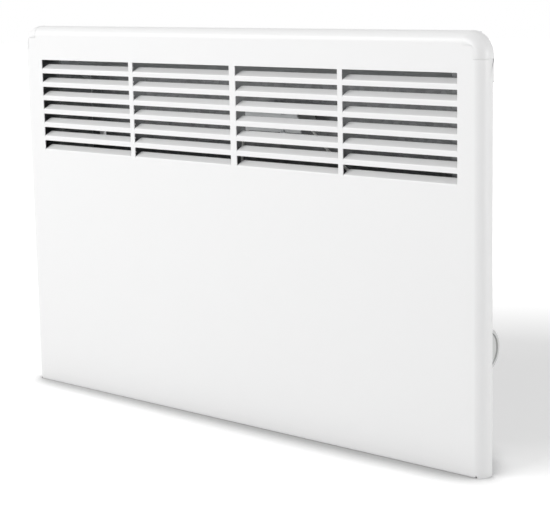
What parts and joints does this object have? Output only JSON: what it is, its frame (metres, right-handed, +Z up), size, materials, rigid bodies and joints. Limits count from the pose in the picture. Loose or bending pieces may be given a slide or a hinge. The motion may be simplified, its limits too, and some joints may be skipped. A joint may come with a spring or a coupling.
{
  "type": "wall panel convector heater",
  "caption": "Wall panel convector heater: a louvred steel front with moulded top corner caps, a rear casing with a finned element, a side control knob and a wall bracket with latches.",
  "frame": {"origin": "on the floor line, in the middle of the width and of the depth", "axes": "+X along the heater towards the knob's side, +Y towards the wall, +Z up; the louvred front faces -Y"},
  "size_m": [0.5854, 0.0852, 0.3892],
  "materials": {
    "panel_white": "smooth satin powder coat",
    "cap_white": "satin moulded plastic",
    "casing_steel": "bright galvanised sheet",
    "inner_steel": "aluminised sheet",
    "fin_aluminium": "rolled sheet",
    "sheath_steel": "annealed tube",
    "ceramic": "glazed ceramic",
    "fastener_steel": "zinc plated",
    "brass": "turned and pressed brass",
    "copper": "drawn copper",
    "phenolic_black": "moulded phenolic",
    "knob_grey": "fine matt plastic",
    "plate_grey": "fine matt plastic",
    "block_plastic": "moulded polyamide",
    "gland_grey": "moulded polyamide",
    "lead_white": "sleeved lead",
    "lead_blue": "sleeved lead",
    "lead_brown": "sleeved lead",
    "lead_earth": "sleeved lead, green with a yellow stripe",
    "bracket_white": "smooth powder coat",
    "latch_white": "moulded plastic"
  },
  "bodies": {
    "heater": {"front_panel": "panel_white", "corner_cap_left": "cap_white", "corner_cap_right": "cap_white", "rear_casing": "casing_steel", "casing_screws": "fastener_steel", "casing_rivets": "fin_aluminium", "air_deflector": "inner_steel", "heat_shield": "inner_steel", "reflector": "inner_steel", "partition": "inner_steel", "element_plate": "inner_steel", "element_sheath": "sheath_steel", "element_fins": "fin_aluminium", "terminal_bushes": "ceramic", "terminal_pins": "fastener_steel", "cutout_bracket": "inner_steel", "thermal_cutout": "phenolic_black", "cutout_rivets": "fastener_steel", "cutout_tabs": "brass", "control_plate": "plate_grey", "control_screws": "fastener_steel", "thermostat_body": "phenolic_black", "thermostat_bush": "brass", "thermostat_screws": "fastener_steel", "cord_gland": "gland_grey", "gland_nut": "gland_grey", "terminal_block": "block_plastic", "block_screws": "fastener_steel", "earth_stud": "fastener_steel", "sensor_bulb": "copper", "bulb_clips": "fastener_steel", "lead_cutout_to_thermostat": "lead_white", "lead_cutout_to_element": "lead_white", "lead_block_to_thermostat": "lead_brown", "lead_block_to_element": "lead_blue", "earth_lead": "lead_earth", "thermostat_capillary": "copper", "wall_bracket": "bracket_white", "latch_pins": "fastener_steel"},
    "knob": {"thermostat_knob": "knob_grey", "thermostat_shaft": "fastener_steel"},
    "latch_left": {"bracket_latch_left": "latch_white"},
    "latch_right": {"bracket_latch_right": "latch_white"}
  },
  "joints": [
    {"name": "knob_turn", "type": "hinge", "parent": "heater", "child": "knob", "pos_m": [0.256, -0.0024, 0.1051], "axis": [-1, 0, 0], "range_deg": [0, 270]},
    {"name": "latch_right_turn", "type": "hinge", "parent": "heater", "child": "latch_right", "pos_m": [0.2245, 0.0176, 0.3795], "axis": [0, -1, 0], "range_deg": [0, 90]},
    {"name": "latch_left_turn", "type": "hinge", "parent": "heater", "child": "latch_left", "pos_m": [-0.2245, 0.0176, 0.3795], "axis": [0, 1, 0], "range_deg": [0, 90]}
  ]
}
